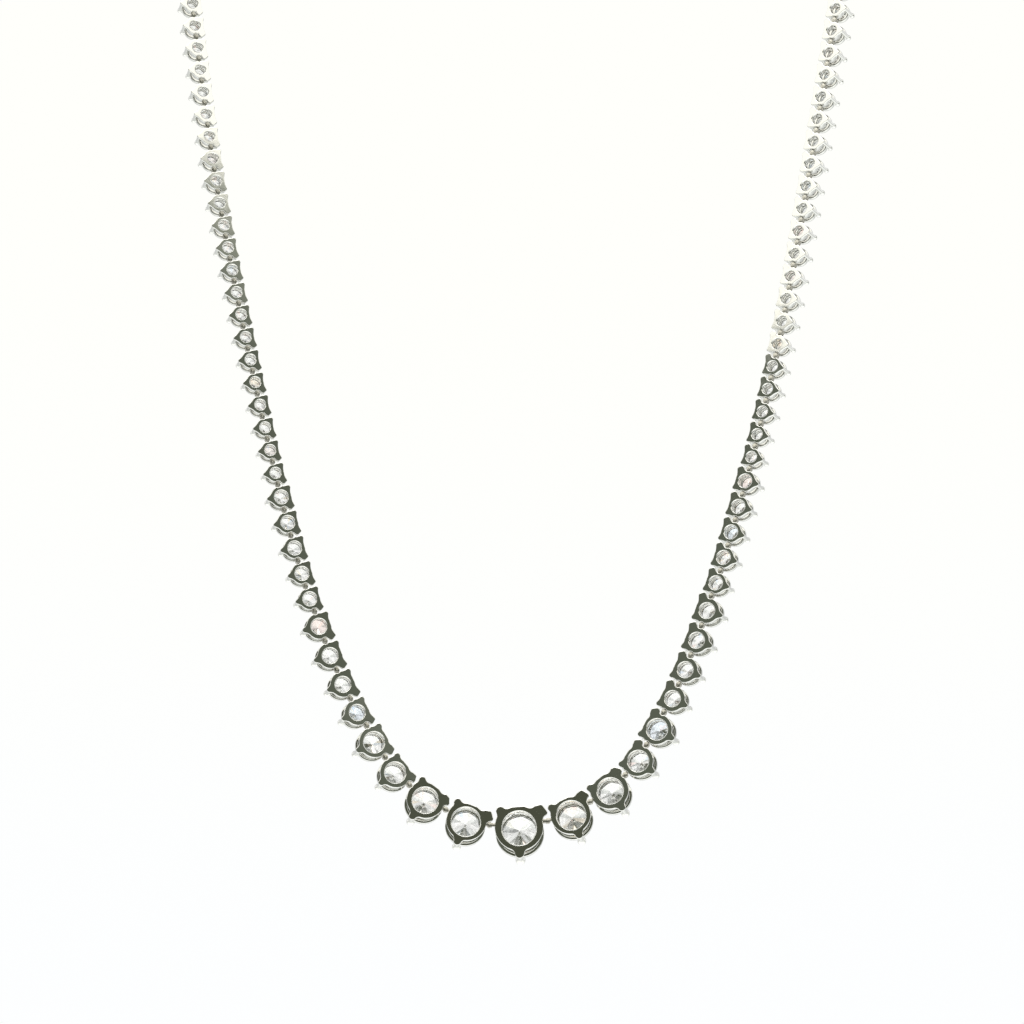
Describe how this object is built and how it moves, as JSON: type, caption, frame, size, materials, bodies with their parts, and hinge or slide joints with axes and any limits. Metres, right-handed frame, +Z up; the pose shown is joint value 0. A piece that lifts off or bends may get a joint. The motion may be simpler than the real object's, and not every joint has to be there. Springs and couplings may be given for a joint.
{
  "type": "graduated necklace",
  "caption": "Closed chain of hinged pronged settings with round brilliants that grow towards the centre, hanging as worn, with a plain box clasp at the back.",
  "frame": {"origin": "middle of the clasp's inner side, where the back of a neck or a peg carries the loop, in the plane of the hinge line", "axes": "+Z up, with the centre setting at the bottom; +Y towards the back plates, so the crowns face -Y; X across the loop"},
  "size_m": [0.0935, 0.0067, 0.1719],
  "materials": {
    "white_gold": "mirror-polished rhodium-plated white gold",
    "stones": "polished colourless gemstone facets"
  },
  "bodies": {
    "root": {"setting_centre": "white_gold", "stone_centre": "stones", "setting_a1": "white_gold", "setting_a2": "white_gold", "setting_a3": "white_gold", "setting_a4": "white_gold", "setting_a5": "white_gold", "setting_a6": "white_gold", "setting_a7": "white_gold", "setting_a8": "white_gold", "stone_a1": "stones", "stone_a2": "stones", "stone_a3": "stones", "stone_a4": "stones", "stone_a5": "stones", "stone_a6": "stones", "stone_a7": "stones", "stone_a8": "stones", "setting_b1": "white_gold", "setting_b2": "white_gold", "setting_b3": "white_gold", "setting_b4": "white_gold", "setting_b5": "white_gold", "setting_b6": "white_gold", "setting_b7": "white_gold", "setting_b8": "white_gold", "stone_b1": "stones", "stone_b2": "stones", "stone_b3": "stones", "stone_b4": "stones", "stone_b5": "stones", "stone_b6": "stones", "stone_b7": "stones", "stone_b8": "stones", "strand_a": "white_gold", "strand_b": "white_gold", "strand_stones_a": "stones", "strand_stones_b": "stones", "clasp": "white_gold"}
  },
  "joints": []
}
